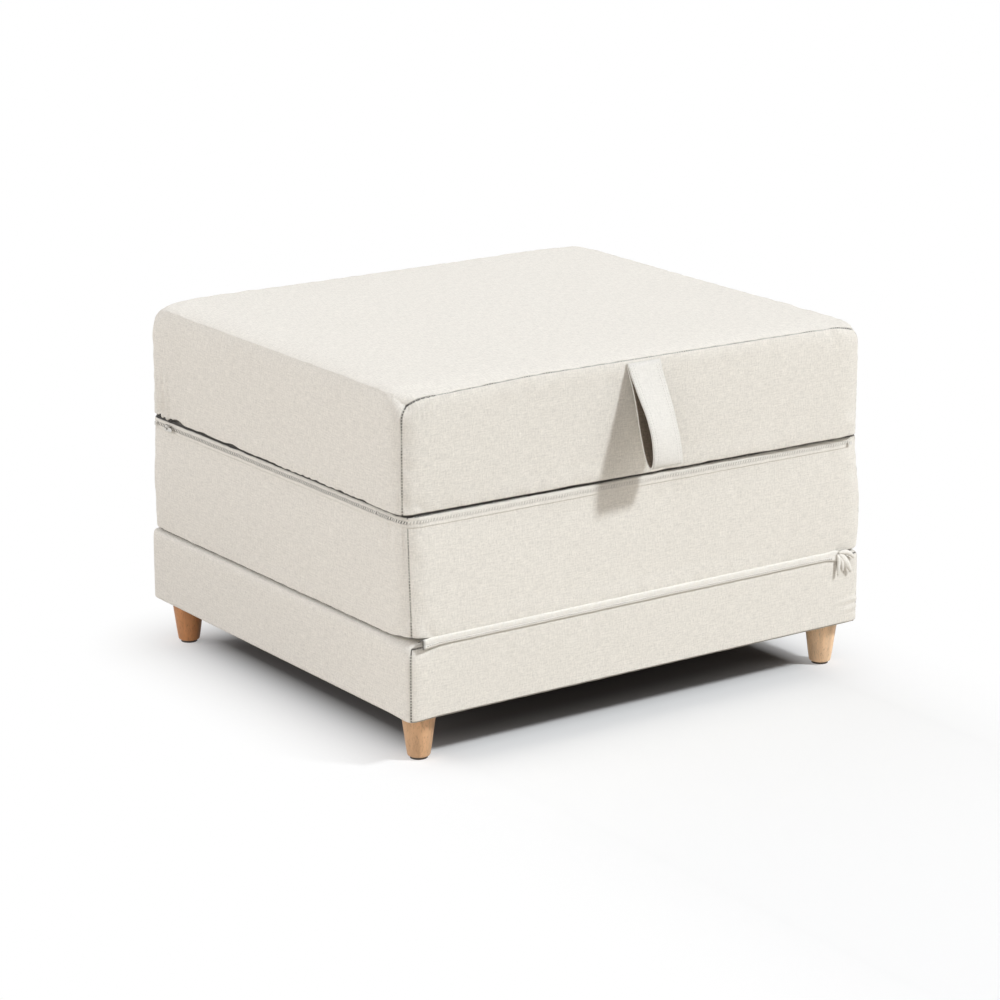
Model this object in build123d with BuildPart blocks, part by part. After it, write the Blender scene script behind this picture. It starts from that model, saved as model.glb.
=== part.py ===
"""Fold out ottoman guest bed: an upholstered base on four turned legs and two cushions that unfold."""

import os
from math import cos, hypot, radians, sin, sqrt

from build123d import *

os.makedirs("parts", exist_ok=True)

# The three stacked panels: width runs left to right, depth front to back
cushion_width = 710
cushion_depth = 630
base_overhang = 3
leg_height = 60
base_height = 98
top_height = 156
panel_gap = 0.6
fit_gap = 0.3
overrun = 5

# Cushions: cloth, rounded corners and edges, sides drawn in between the corners, a domed top
cloth = 1.5
corner_radius = 20
inner_corner_share = 0.5
draw_in = 2
edge_roll = 10
top_edge_roll = 12
crown = 3.5
crown_shares = (0.97, 0.85, 0.6, 0.3)
roll_angles = (0, 30, 60, 90)

# Cloth hinges between the panels
hinge_cloth = 1.2
hinge_gap = 0.2
hinge_drop = 11
front_hinge_length = 658
front_hinge_shift = -12
rear_hinge_length = 670

# Pull loop in the front seam of the top cushion
strap_width = 50
strap_shift = -2
strap_reach = 48
strap_drop = 123
strap_ply = 2.4
strap_bow = 11
strap_fold_radius = 3

# Base: timber frame, deck, foam and covering
base_corner_radius = 14
base_edge_radius = 8
hem_width = 24
dust_cloth = 0.8
dust_inset = 6
rail_thickness = 18
rail_height = 45
deck_thickness = 9
block_side = 45
block_height = 32

# Legs and what fixes them
leg_inset = 33.5
leg_top_radius = 22
leg_foot_radius = 14.5
leg_edge_radius = 2
glide_radius = 11
glide_thickness = 3
glide_pin_radius = 1.5
glide_pin_length = 12
bolt_radius = 4
bolt_in_leg = 38
nut_flange_radius = 10.5
nut_flange = 1.5
nut_barrel_radius = 5.5
nut_barrel = 10
drill_gap = 0.05

# Screws and staples
screw_shank_radius = 2
screw_head_radius = 4
frame_screw_length = 40
deck_screw_length = 35
deck_screw_inset = 70
frame_screw_shares = (0.25, 0.7)
block_screw_share = 0.26
long_side_screw_count = 4
short_side_screw_count = 3
staple_crown = 10
staple_wire = 0.8
staple_leg = 7
staple_inset = 90
long_side_staple_count = 6
short_side_staple_count = 5

# Zip along the left side and the front of the middle cushion
tape_cloth = 0.8
tape_width = 13
zip_drop = 8
coil_width = 5
coil_height = 1.6
stop_length = 4
stop_plate = 0.6

# Zip slider, its bridge and its pull
slider_length = 11
slider_wall = 1.2
slider_gap = 0.25
slider_inset = 55
bridge_length = 6
bridge_height = 3.2
bridge_width = 2
bridge_wire = 1
pull_length = 16
pull_wire = 1.2
pull_gap = 0.35

# Levels and the two hinge lines
base_top = leg_height + base_height
fold_z = base_top + panel_gap / 2
rear_fold_z = 2 * fold_z
middle_bottom = fold_z + panel_gap / 2
middle_top = rear_fold_z - panel_gap / 2
top_bottom = rear_fold_z + panel_gap / 2
top_top = top_bottom + top_height

# Places front to back: the origin is midway between the loop's foot and the back of the base
centre_y = (strap_reach - base_overhang) / 2
front_y = centre_y - cushion_depth / 2
back_y = centre_y + cushion_depth / 2
base_front_y = front_y - base_overhang
zip_stack = fit_gap + tape_cloth + coil_height
fold_y = front_y - max(base_overhang + hinge_cloth, zip_stack) - fit_gap
rear_fold_y = back_y + hinge_cloth + fit_gap

# Base sizes, worked out from the covering inwards
base_width = cushion_width + 2 * base_overhang
base_depth = cushion_depth + 2 * base_overhang
frame_width = base_width - 2 * (cloth + fit_gap)
frame_depth = base_depth - 2 * (cloth + fit_gap)
frame_corner = base_corner_radius - cloth - fit_gap
rail_span = frame_depth - 2 * rail_thickness
hem_bottom = leg_height + dust_cloth
frame_bottom = hem_bottom + cloth
frame_top = frame_bottom + rail_height
deck_top = frame_top + deck_thickness
foam_top = base_top - cloth - fit_gap
block_top = frame_bottom + block_height
block_x = frame_width / 2 - rail_thickness - block_side / 2
block_y = frame_depth / 2 - rail_thickness - block_side / 2
leg_x = cushion_width / 2 - leg_inset
leg_y = cushion_depth / 2 - leg_inset
leg_places = {
    "leg_front_left": (-leg_x, centre_y - leg_y),
    "leg_front_right": (leg_x, centre_y - leg_y),
    "leg_back_left": (-leg_x, centre_y + leg_y),
    "leg_back_right": (leg_x, centre_y + leg_y),
}


def rolled_in(roll, lift):
    """How far a rolled edge has drawn in at a height of lift inside its flat face."""
    return roll - sqrt(roll**2 - (roll - lift) ** 2)


def spread(count, reach):
    """Evenly spaced places from minus reach to reach."""
    return [reach * (2 * number / (count - 1) - 1) for number in range(count)]


def cushion_outline(height, inset, share=1):
    """One level line of a cushion: rounded corners, and sides that pull in between them."""
    half_width = share * cushion_width / 2 - inset
    half_depth = share * cushion_depth / 2 - inset
    pull = share * draw_in
    corners = (
        (-half_width, -half_depth),
        (half_width, -half_depth),
        (half_width, half_depth),
        (-half_width, half_depth),
    )
    middles = (
        (0, pull - half_depth),
        (half_width - pull, 0),
        (0, half_depth - pull),
        (pull - half_width, 0),
    )
    with BuildSketch(Plane((0, centre_y, height))) as outline:
        with BuildLine():
            for number, middle in enumerate(middles):
                ThreePointArc(corners[number], middle, corners[(number + 1) % len(corners)])
        make_face()
        fillet(outline.vertices(), corner_radius - inner_corner_share * inset)
    return outline.sketch


def cushion(bottom, top, upper_roll, dome, skin):
    """A closed cushion, flat below and domed above, with its whole surface moved in by skin."""
    lower, upper = edge_roll - skin, upper_roll - skin
    floor, ceiling = bottom + skin, top - skin
    lines = []
    for angle in roll_angles:
        turned_in = 1 - sin(radians(angle))
        risen = 1 - cos(radians(angle))
        lines.append(cushion_outline(floor + lower * risen, skin + lower * turned_in))
    for angle in reversed(roll_angles):
        turned_in = 1 - sin(radians(angle))
        risen = 1 - cos(radians(angle))
        lines.append(cushion_outline(ceiling - dome - upper * risen, skin + upper * turned_in))
    if dome:
        for share in crown_shares:
            lines.append(cushion_outline(ceiling - dome * share**2, skin + upper * share, share))
    with BuildPart() as form:
        loft(lines, ruled=True)
    return form.part


def sewn_cover(bottom, top, upper_roll, dome):
    """A cushion's sewn cover: a closed skin one cloth thick."""
    with BuildPart() as cover:
        add(cushion(bottom, top, upper_roll, dome, 0))
        add(cushion(bottom, top, upper_roll, dome, cloth), mode=Mode.SUBTRACT)
    return cover.part


def rounded_block(width, depth, radius, bottom, top, edge=0):
    """An upright block about the panels' middle, with rounded corners and a rounded top edge."""
    with BuildPart() as block:
        with BuildSketch(Plane((0, centre_y, bottom))):
            RectangleRounded(width, depth, radius)
        extrude(amount=top - bottom)
        if edge:
            fillet(block.faces().sort_by(Axis.Z)[-1].edges(), edge)
    return block.part


def plain_bar(low, high):
    """A square-edged bar between two opposite corners."""
    size = [high[number] - low[number] for number in range(3)]
    with BuildPart() as bar:
        with BuildSketch(Plane(((low[0] + high[0]) / 2, (low[1] + high[1]) / 2, low[2]))):
            Rectangle(size[0], size[1])
        extrude(amount=size[2])
    return bar.part


def screw(place, length, gap=0):
    """A countersunk screw whose head is flush with its place, or the hole that it sits in."""
    head, shank = screw_head_radius + gap, screw_shank_radius + gap
    with BuildPart() as body:
        with BuildSketch(place):
            Circle(shank)
        extrude(amount=-length - gap)
        with BuildSketch(place.offset(shank - head)):
            Circle(shank)
        with BuildSketch(place):
            Circle(head)
        loft()
    return body.part


# Where the screws go: two through the rails into each side of each block, and into the centre rail
frame_screw_places = []
for share in frame_screw_shares:
    screw_z = frame_bottom + share * block_height
    for side in (-1, 1):
        rail_y = centre_y + side * frame_depth / 2
        frame_screw_places.append(Plane((0, rail_y, screw_z), z_dir=(0, side, 0)))
        for end in (-1, 1):
            block_screw_x = end * (block_x - block_screw_share * block_side)
            block_screw_y = centre_y + end * (block_y - block_screw_share * block_side)
            rail_x = side * frame_width / 2
            frame_screw_places.append(Plane((block_screw_x, rail_y, screw_z), z_dir=(0, side, 0)))
            frame_screw_places.append(Plane((rail_x, block_screw_y, screw_z), z_dir=(side, 0, 0)))

deck_screw_places = []
for side in (-1, 1):
    rail_y = centre_y + side * (frame_depth - rail_thickness) / 2
    for along in spread(long_side_screw_count, frame_width / 2 - deck_screw_inset):
        deck_screw_places.append(Plane((along, rail_y, deck_top)))
for rail_x in (-(frame_width - rail_thickness) / 2, 0, (frame_width - rail_thickness) / 2):
    for along in spread(short_side_screw_count, frame_depth / 2 - deck_screw_inset):
        deck_screw_places.append(Plane((rail_x, centre_y + along, deck_top)))

# Where the staples go: round the underside, in the middle of each rail, crowns along the edge
staple_places = []
for side in (-1, 1):
    rail_y = centre_y + side * (frame_depth - rail_thickness) / 2
    for along in spread(long_side_staple_count, frame_width / 2 - staple_inset):
        staple_places.append(Plane((along, rail_y, leg_height)))
    rail_x = side * (frame_width - rail_thickness) / 2
    for along in spread(short_side_staple_count, frame_depth / 2 - staple_inset):
        staple_places.append(Plane((rail_x, centre_y + along, leg_height), x_dir=(0, 1, 0)))


def screw_holes():
    """Every screw hole of the frame and the deck, as one tool."""
    with BuildPart() as holes:
        for place in frame_screw_places:
            add(screw(place, frame_screw_length, drill_gap))
        for place in deck_screw_places:
            add(screw(place, deck_screw_length, drill_gap))
    return holes.part


def staple_legs(radius, length):
    """The legs of every staple, or the holes that they pass through."""
    leg_reach = (staple_crown - staple_wire) / 2
    with BuildPart() as legs:
        for place in staple_places:
            with BuildSketch(place):
                with Locations((-leg_reach, 0), (leg_reach, 0)):
                    Circle(radius)
        extrude(amount=length)
    return legs.part


screw_tool = screw_holes()
staple_tool = staple_legs(staple_wire / 2 + drill_gap, staple_leg + drill_gap)


# Front and back rails run the full width, with their outer corners rounded for the cloth
for name, side in (("front_rail", -1), ("back_rail", 1)):
    outer_y = centre_y + side * frame_depth / 2
    with BuildPart() as end_rail:
        with BuildSketch(Plane((0, outer_y - side * rail_thickness / 2, frame_bottom))):
            Rectangle(frame_width, rail_thickness)
        extrude(amount=rail_height)
        upright = end_rail.edges().filter_by(Axis.Z).sort_by(Axis.Y)
        fillet(upright[:2] if side < 0 else upright[-2:], frame_corner)
        add(screw_tool, mode=Mode.SUBTRACT)
        add(staple_tool, mode=Mode.SUBTRACT)
    end_rail.part.label = name
    export_step(end_rail.part, f"parts/{name}.step")

# Left, right and centre rails fit between them
side_x = (frame_width - rail_thickness) / 2
for name, rail_x in (("left_rail", -side_x), ("centre_rail", 0), ("right_rail", side_x)):
    with BuildPart() as cross_rail:
        with BuildSketch(Plane((rail_x, centre_y, frame_bottom))):
            Rectangle(rail_thickness, rail_span)
        extrude(amount=rail_height)
        add(screw_tool, mode=Mode.SUBTRACT)
        add(staple_tool, mode=Mode.SUBTRACT)
    cross_rail.part.label = name
    export_step(cross_rail.part, f"parts/{name}.step")

# Corner blocks, each bored for a leg bolt and its tee nut
with BuildPart() as corner_blocks:
    with BuildSketch(Plane((0, centre_y, frame_bottom))):
        with GridLocations(2 * block_x, 2 * block_y, 2, 2):
            Rectangle(block_side, block_side)
    extrude(amount=block_height)
    with Locations([(x, y, block_top) for x, y in leg_places.values()]):
        CounterBoreHole(bolt_radius + drill_gap, nut_barrel_radius + drill_gap, nut_barrel)
    add(screw_tool, mode=Mode.SUBTRACT)
corner_blocks.part.label = "corner_blocks"
export_step(corner_blocks.part, "parts/corner_blocks.step")

# Plywood deck on top of the frame
with BuildPart() as deck_board:
    add(rounded_block(frame_width, frame_depth, frame_corner, frame_top, deck_top))
    add(screw_tool, mode=Mode.SUBTRACT)
deck_board.part.label = "deck_board"
export_step(deck_board.part, "parts/deck_board.step")

# Screws of the frame and of the deck
with BuildPart() as frame_screws:
    for place in frame_screw_places:
        add(screw(place, frame_screw_length))
frame_screws.part.label = "frame_screws"
export_step(frame_screws.part, "parts/frame_screws.step")

with BuildPart() as deck_screws:
    for place in deck_screw_places:
        add(screw(place, deck_screw_length))
deck_screws.part.label = "deck_screws"
export_step(deck_screws.part, "parts/deck_screws.step")

# Foam on the deck
foam_edge = base_edge_radius - cloth - fit_gap
base_foam = rounded_block(frame_width, frame_depth, frame_corner, deck_top, foam_top, foam_edge)
base_foam.label = "base_foam"
export_step(base_foam, "parts/base_foam.step")

# The base's cover: top, sides, and a hem turned in under the rails
with BuildPart() as base_cover:
    add(
        rounded_block(
            base_width, base_depth, base_corner_radius, hem_bottom, base_top, base_edge_radius
        )
    )
    add(
        rounded_block(
            base_width - 2 * cloth,
            base_depth - 2 * cloth,
            base_corner_radius - cloth,
            frame_bottom,
            base_top - cloth,
            base_edge_radius - cloth,
        ),
        mode=Mode.SUBTRACT,
    )
    with BuildSketch(Plane((0, centre_y, hem_bottom))):
        Rectangle(base_width - 2 * hem_width, base_depth - 2 * hem_width)
    extrude(amount=cloth, mode=Mode.SUBTRACT)
    add(staple_tool, mode=Mode.SUBTRACT)
base_cover.part.label = "base_cover"
export_step(base_cover.part, "parts/base_cover.step")

# Dust cover under the base, pierced for the staples and the leg bolts
with BuildPart() as dust_cover:
    with BuildSketch(Plane((0, centre_y, leg_height))):
        Rectangle(base_width - 2 * dust_inset, base_depth - 2 * dust_inset)
    extrude(amount=dust_cloth)
    with Locations([(x, y, hem_bottom) for x, y in leg_places.values()]):
        Hole(bolt_radius + fit_gap)
    add(staple_tool, mode=Mode.SUBTRACT)
dust_cover.part.label = "dust_cover"
export_step(dust_cover.part, "parts/dust_cover.step")

# Staples: a crown below the dust cover, and two legs up into the rail
with BuildPart() as cover_staples:
    for place in staple_places:
        with BuildSketch(place):
            Rectangle(staple_crown, staple_wire)
    extrude(amount=-staple_wire)
    add(staple_legs(staple_wire / 2, staple_leg))
cover_staples.part.label = "cover_staples"
export_step(cover_staples.part, "parts/cover_staples.step")

# Turned legs, bored above for the bolt and below for the glide's pin
for name, (x, y) in leg_places.items():
    with BuildPart() as leg:
        with BuildSketch(Plane((x, y, glide_thickness))):
            Circle(leg_foot_radius)
        with BuildSketch(Plane((x, y, leg_height))):
            Circle(leg_top_radius)
        loft()
        fillet(leg.edges().group_by(Axis.Z)[0] + leg.edges().group_by(Axis.Z)[-1], leg_edge_radius)
        with Locations((x, y, leg_height)):
            Hole(bolt_radius + drill_gap, bolt_in_leg + drill_gap)
        with BuildSketch(Plane((x, y, glide_thickness))):
            Circle(glide_pin_radius + drill_gap)
        extrude(amount=glide_pin_length + drill_gap, mode=Mode.SUBTRACT)
    leg.part.label = name
    export_step(leg.part, f"parts/{name}.step")

# Glides: a disc with a pin up into each leg
with BuildPart() as foot_glides:
    for x, y in leg_places.values():
        with BuildSketch(Plane((x, y, 0))):
            Circle(glide_radius)
        extrude(amount=glide_thickness)
        with BuildSketch(Plane((x, y, glide_thickness))):
            Circle(glide_pin_radius)
        extrude(amount=glide_pin_length)
foot_glides.part.label = "foot_glides"
export_step(foot_glides.part, "parts/foot_glides.step")

# Hanger bolts, from inside each leg up through the block to the tee nut
with BuildPart() as leg_bolts:
    for x, y in leg_places.values():
        with BuildSketch(Plane((x, y, leg_height - bolt_in_leg))):
            Circle(bolt_radius)
    extrude(amount=bolt_in_leg + block_top - leg_height)
leg_bolts.part.label = "leg_bolts"
export_step(leg_bolts.part, "parts/leg_bolts.step")

# Tee nuts: a flange on the block and a barrel in its bore
with BuildPart() as leg_nuts:
    for x, y in leg_places.values():
        with BuildSketch(Plane((x, y, block_top))):
            Circle(nut_flange_radius)
        extrude(amount=nut_flange)
        with BuildSketch(Plane((x, y, block_top))):
            Circle(nut_barrel_radius)
        extrude(amount=-nut_barrel)
    with Locations([(x, y, block_top + nut_flange) for x, y in leg_places.values()]):
        Hole(bolt_radius + drill_gap)
leg_nuts.part.label = "leg_nuts"
export_step(leg_nuts.part, "parts/leg_nuts.step")

# Middle cushion: sewn cover and foam
middle_cover = sewn_cover(middle_bottom, middle_top, edge_roll, 0)
middle_cover.label = "middle_cover"
export_step(middle_cover, "parts/middle_cover.step")

middle_foam = cushion(middle_bottom, middle_top, edge_roll, 0, cloth + fit_gap)
middle_foam.label = "middle_foam"
export_step(middle_foam, "parts/middle_foam.step")

# Top cushion: sewn cover and foam
top_cover = sewn_cover(top_bottom, top_top, top_edge_roll, crown)
top_cover.label = "top_cover"
export_step(top_cover, "parts/top_cover.step")

top_foam = cushion(top_bottom, top_top, top_edge_roll, crown, cloth + fit_gap)
top_foam.label = "top_foam"
export_step(top_foam, "parts/top_foam.step")

# Front hinge: a strip down the base's face, and a tab in under the middle cushion's rolled edge
front_hinge_left = front_hinge_shift - front_hinge_length / 2
front_hinge_right = front_hinge_shift + front_hinge_length / 2
tab_rise = hinge_gap + hinge_cloth + fit_gap - panel_gap / 2
tab_reach = rolled_in(edge_roll, tab_rise)

front_hinge_base_half = plain_bar(
    (front_hinge_left, base_front_y - hinge_cloth, fold_z - hinge_drop),
    (front_hinge_right, base_front_y, fold_z - hinge_gap),
)
front_hinge_base_half.label = "front_hinge_base_half"
export_step(front_hinge_base_half, "parts/front_hinge_base_half.step")

front_hinge_middle_half = plain_bar(
    (front_hinge_left, fold_y + hinge_gap, fold_z + hinge_gap),
    (front_hinge_right, front_y + tab_reach, fold_z + hinge_gap + hinge_cloth),
)
front_hinge_middle_half.label = "front_hinge_middle_half"
export_step(front_hinge_middle_half, "parts/front_hinge_middle_half.step")

# Rear hinge: a tab in the middle cushion's upper rolled edge, and one in the top cushion's lower
rear_hinge_middle_half = plain_bar(
    (-rear_hinge_length / 2, back_y - tab_reach, rear_fold_z - hinge_gap - hinge_cloth),
    (rear_hinge_length / 2, rear_fold_y - hinge_gap, rear_fold_z - hinge_gap),
)
rear_hinge_middle_half.label = "rear_hinge_middle_half"
export_step(rear_hinge_middle_half, "parts/rear_hinge_middle_half.step")

rear_hinge_top_half = plain_bar(
    (-rear_hinge_length / 2, back_y - tab_reach, rear_fold_z + hinge_gap),
    (rear_hinge_length / 2, rear_fold_y - hinge_gap, rear_fold_z + hinge_gap + hinge_cloth),
)
rear_hinge_top_half.label = "rear_hinge_top_half"
export_step(rear_hinge_top_half, "parts/rear_hinge_top_half.step")

# Pull loop: two plies of cloth, bowed apart, that meet in the seam and at the fold
strap_top_z = top_top - crown - top_edge_roll
strap_top_y = front_y + draw_in - fit_gap
strap_foot_y = front_y - strap_reach
strap_foot_z = strap_top_z - strap_drop
strap_run = hypot(strap_top_y - strap_foot_y, strap_drop)
out_y = -strap_drop / strap_run
out_z = (strap_top_y - strap_foot_y) / strap_run
strap_middle_y = (strap_top_y + strap_foot_y) / 2
strap_middle_z = (strap_top_z + strap_foot_z) / 2
with BuildPart() as pull_strap:
    with BuildSketch(Plane.YZ.offset(strap_shift - strap_width / 2)) as loop_side:
        with BuildLine():
            for bow in (strap_bow, -strap_bow):
                ThreePointArc(
                    (strap_top_y, strap_top_z),
                    (strap_middle_y + bow * out_y, strap_middle_z + bow * out_z),
                    (strap_foot_y, strap_foot_z),
                )
        make_face()
        fillet(loop_side.vertices().sort_by(Axis.Z)[0], strap_fold_radius)
        offset(amount=-strap_ply, mode=Mode.SUBTRACT)
    extrude(amount=strap_width)
pull_strap.part.label = "pull_strap"
export_step(pull_strap.part, "parts/pull_strap.step")

# Zip: it starts where the rear left corner starts to turn and ends where the front right one does
zip_z = middle_top - zip_drop
tape_face = fit_gap + tape_cloth
zip_right = cushion_width / 2 - corner_radius
zip_rear = cushion_depth / 2 - corner_radius


def zip_band(inner, outer, height):
    """A band round the middle cushion's left side and front, between two distances off it."""
    left, front = -cushion_width / 2 - overrun, -cushion_depth / 2 - overrun
    with BuildPart() as band:
        with BuildSketch(Plane((0, centre_y, zip_z - height / 2))):
            RectangleRounded(
                cushion_width + 2 * outer, cushion_depth + 2 * outer, corner_radius + outer
            )
            RectangleRounded(
                cushion_width + 2 * inner,
                cushion_depth + 2 * inner,
                corner_radius + inner,
                mode=Mode.SUBTRACT,
            )
            with Locations(((left + zip_right) / 2, (front + zip_rear) / 2)):
                Rectangle(zip_right - left, zip_rear - front, mode=Mode.INTERSECT)
        extrude(amount=height)
    return band.part


zip_tape = zip_band(fit_gap, tape_face, tape_width)
zip_tape.label = "zip_tape"
export_step(zip_tape, "parts/zip_tape.step")

zip_coil = zip_band(tape_face, zip_stack, coil_width)
zip_coil.label = "zip_coil"
export_step(zip_coil, "parts/zip_coil.step")

# Zip stops: a plate over each end of the coil
coil_x = -cushion_width / 2 - zip_stack
coil_y = front_y - zip_stack
with BuildPart() as zip_stops:
    with BuildSketch(Plane.XY.offset(zip_z - coil_width / 2)):
        with Locations((coil_x - stop_plate / 2, centre_y + zip_rear - stop_length / 2)):
            Rectangle(stop_plate, stop_length)
        with Locations((zip_right - stop_length / 2, coil_y - stop_plate / 2)):
            Rectangle(stop_length, stop_plate)
    extrude(amount=coil_width)
zip_stops.part.label = "zip_stops"
export_step(zip_stops.part, "parts/zip_stops.step")

# Zip slider: a channel over the coil, with a bridge on its back
slider_y = centre_y + cushion_depth / 2 - slider_inset
slider_inner_x = coil_x - slider_gap
slider_outer_x = slider_inner_x - slider_wall
slider_foot_x = -cushion_width / 2 - tape_face - slider_gap
slider_width = coil_width + 2 * (slider_gap + slider_wall)
slider_end = Plane((0, slider_y - slider_length / 2, zip_z), x_dir=(1, 0, 0), z_dir=(0, 1, 0))
bridge_x = slider_outer_x - bridge_height / 2
with BuildPart() as zip_slider:
    with BuildSketch(slider_end):
        with Locations(((slider_outer_x + slider_foot_x) / 2, 0)):
            Rectangle(slider_foot_x - slider_outer_x, slider_width)
        with Locations(((slider_inner_x + slider_foot_x) / 2, 0)):
            Rectangle(
                slider_foot_x - slider_inner_x, coil_width + 2 * slider_gap, mode=Mode.SUBTRACT
            )
    extrude(amount=slider_length)
    with BuildSketch(Plane((bridge_x, slider_y, zip_z - bridge_width / 2))):
        Rectangle(bridge_height, bridge_length)
        with Locations((bridge_wire / 2, 0)):
            Rectangle(
                bridge_height - bridge_wire, bridge_length - 2 * bridge_wire, mode=Mode.SUBTRACT
            )
    extrude(amount=bridge_width)
zip_slider.part.label = "zip_slider"
export_step(zip_slider.part, "parts/zip_slider.step")

# Zip pull: a round pin under the bridge, two arms past it, and a tab that lies along the coil
pull_x = slider_outer_x - (bridge_height - bridge_wire) / 2
eye_width = bridge_width + 2 * pull_gap
pull_width = eye_width + 2 * pull_wire
eye_end = hypot(bridge_length / 2, (bridge_height + bridge_wire) / 2) + pull_gap
tab_length = pull_length - pull_wire / 2
tab_face = Plane((pull_x - pull_wire / 2, slider_y, zip_z), x_dir=(0, -1, 0), z_dir=(1, 0, 0))
with BuildPart() as zip_pull:
    with BuildSketch(tab_face):
        with Locations((tab_length / 2, 0)):
            Rectangle(tab_length, pull_width)
        with Locations((eye_end / 2, 0)):
            Rectangle(eye_end, eye_width, mode=Mode.SUBTRACT)
    extrude(amount=pull_wire)
    tab_end = zip_pull.edges().filter_by(Axis.X).sort_by(Axis.Y)[:2]
    fillet(tab_end, pull_width / 2 - pull_gap)
    with BuildSketch(Plane((pull_x, slider_y, zip_z - pull_width / 2))):
        Circle(pull_wire / 2)
    extrude(amount=pull_width)
zip_pull.part.label = "zip_pull"
export_step(zip_pull.part, "parts/zip_pull.step")

# The hinge lines and the places that the joints turn about
print("front fold line y, z:", round(fold_y, 3), round(fold_z, 3))
print("rear fold line y, z:", round(rear_fold_y, 3), round(rear_fold_z, 3))
print("strap seam y, z:", round(strap_top_y, 3), round(strap_top_z, 3))
print("strap foot y, z:", round(strap_foot_y, 3), round(strap_foot_z, 3))
print("zip pull pin x, y:", round(pull_x, 3), round(slider_y, 3))
print("zip slider travel:", round(cushion_depth - corner_radius - slider_inset - slider_length / 2, 3))
print("leg places:", leg_places)
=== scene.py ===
"""Fold out ottoman guest bed: three upholstered panels in pale linen on turned beech legs."""

import math
from itertools import product

import bpy
import numpy as np
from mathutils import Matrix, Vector, noise
from mathutils.bvhtree import BVHTree
from mathutils.interpolate import poly_3d_calc


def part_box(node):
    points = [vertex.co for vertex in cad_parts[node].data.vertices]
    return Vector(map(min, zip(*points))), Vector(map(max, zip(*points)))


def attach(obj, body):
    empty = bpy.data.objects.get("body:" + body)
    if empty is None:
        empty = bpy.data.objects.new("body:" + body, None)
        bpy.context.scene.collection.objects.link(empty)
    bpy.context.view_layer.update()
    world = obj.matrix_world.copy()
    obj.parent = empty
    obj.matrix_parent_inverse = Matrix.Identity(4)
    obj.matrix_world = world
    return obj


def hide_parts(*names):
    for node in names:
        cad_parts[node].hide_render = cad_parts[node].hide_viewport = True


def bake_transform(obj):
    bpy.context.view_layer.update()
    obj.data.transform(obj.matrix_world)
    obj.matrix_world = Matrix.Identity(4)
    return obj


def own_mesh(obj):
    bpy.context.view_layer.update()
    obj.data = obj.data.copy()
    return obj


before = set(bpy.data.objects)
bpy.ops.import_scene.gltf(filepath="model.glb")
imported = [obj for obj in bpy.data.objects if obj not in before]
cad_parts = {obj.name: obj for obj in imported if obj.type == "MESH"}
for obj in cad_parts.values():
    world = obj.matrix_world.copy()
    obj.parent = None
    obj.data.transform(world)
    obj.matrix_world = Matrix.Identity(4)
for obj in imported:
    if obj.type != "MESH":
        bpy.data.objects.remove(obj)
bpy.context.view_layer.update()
scene = bpy.context.scene

# The view: a long lens at a little over the seat's height, to the left of the front.
# The ottoman stands in the middle of the picture, its near corner towards the lens.
view_azimuth, view_elevation, view_distance = -35.05, 15.54, 4.479
view_target = Vector((0.0, 0.0225, 0.225))
focal_length, sensor_width, view_reach = 121.2, 36.0, 60.0
view_shift = (-0.0014, -0.0099)


def placed(name, data):
    """A new object in the scene."""
    thing = bpy.data.objects.new(name, data)
    scene.collection.objects.link(thing)
    return thing


def bearing(azimuth, elevation):
    """The direction of an azimuth and an elevation in degrees."""
    turn, rise = math.radians(azimuth), math.radians(elevation)
    return Vector((math.sin(turn) * math.cos(rise), -math.cos(turn) * math.cos(rise), math.sin(rise)))


def aimed(name, data, place, direction):
    """A lens or a lamp at a place, looking back along a direction."""
    thing = placed(name, data)
    thing.location = place
    thing.rotation_mode = "QUATERNION"
    thing.rotation_quaternion = direction.to_track_quat("Z", "Y")
    return thing


lens = bpy.data.cameras.new("Lens")
lens.lens, lens.sensor_width, lens.clip_end = focal_length, sensor_width, view_reach
lens.shift_x, lens.shift_y = view_shift
backwards = bearing(view_azimuth, view_elevation)
scene.camera = aimed("Camera", lens, view_target + backwards * view_distance, backwards)
scene.view_settings.view_transform = "Standard"

# The studio: a white sweep of floor, a soft white surround and one lamp from the upper right.
# The floor fades off to the white backdrop a hand's breadth from the feet and the open bed,
# and carries a painted shadow under the base.
floor_half, floor_fade, fade_power = 9.0, 0.20, 1.8
floor_tone, bounce_tone = (0.83, 0.83, 0.83, 1.0), (0.62, 0.58, 0.52, 1.0)
# Painted shadow: the floor's tone under the base, and how far past a box under the base it fades out.
painted_shadow_tone, painted_shadow_fade = (0.27, 0.25, 0.24, 1.0), 0.09
painted_shadow_low, painted_shadow_high = Vector((-0.27, -0.19, 0.0)), Vector((0.27, 0.23, 0.0))
lit_low, lit_high = Vector((-0.285, -1.56, 0.0)), Vector((0.285, 0.27, 0.0))
panel_foot, panel_full, panel_levels = -0.05, 0.30, (("X", -1.0, 2.5), ("Y", 1.0, 1.1))
panel_tone, white_tone = (0.985, 1.0, 1.03, 1.0), (1.0, 1.0, 1.0, 1.0)
surround_tone, surround_level = (1.22, 1.0, 0.80, 1.0), 0.13
lamp_azimuth, lamp_elevation, lamp_spread = 41.0, 44.0, 7.0
lamp_strength, lamp_tone = 2.72, (0.95, 0.99, 1.02)
fill_place, fill_aim = Vector((1.35, -1.55, 0.50)), Vector((0.35, -0.30, 0.15))
fill_strength, fill_size, fill_tone = 3.3, 0.8, (0.99, 1.0, 1.01)


def new_piece(name, places, faces, edges=()):
    """An object with a smooth mesh of its own."""
    mesh = bpy.data.meshes.new(name)
    mesh.from_pydata(places, edges, faces)
    mesh.polygons.foreach_set("use_smooth", [True] * len(faces))
    return placed(name, mesh)


def new_material(name, settings):
    """A material with a plain shader, and handles on its node tree and shader."""
    material = bpy.data.materials.new(name)
    material.use_nodes = True
    shader = material.node_tree.nodes["Principled BSDF"]
    for label, value in settings.items():
        shader.inputs[label].default_value = value
    return material, material.node_tree, shader


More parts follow.
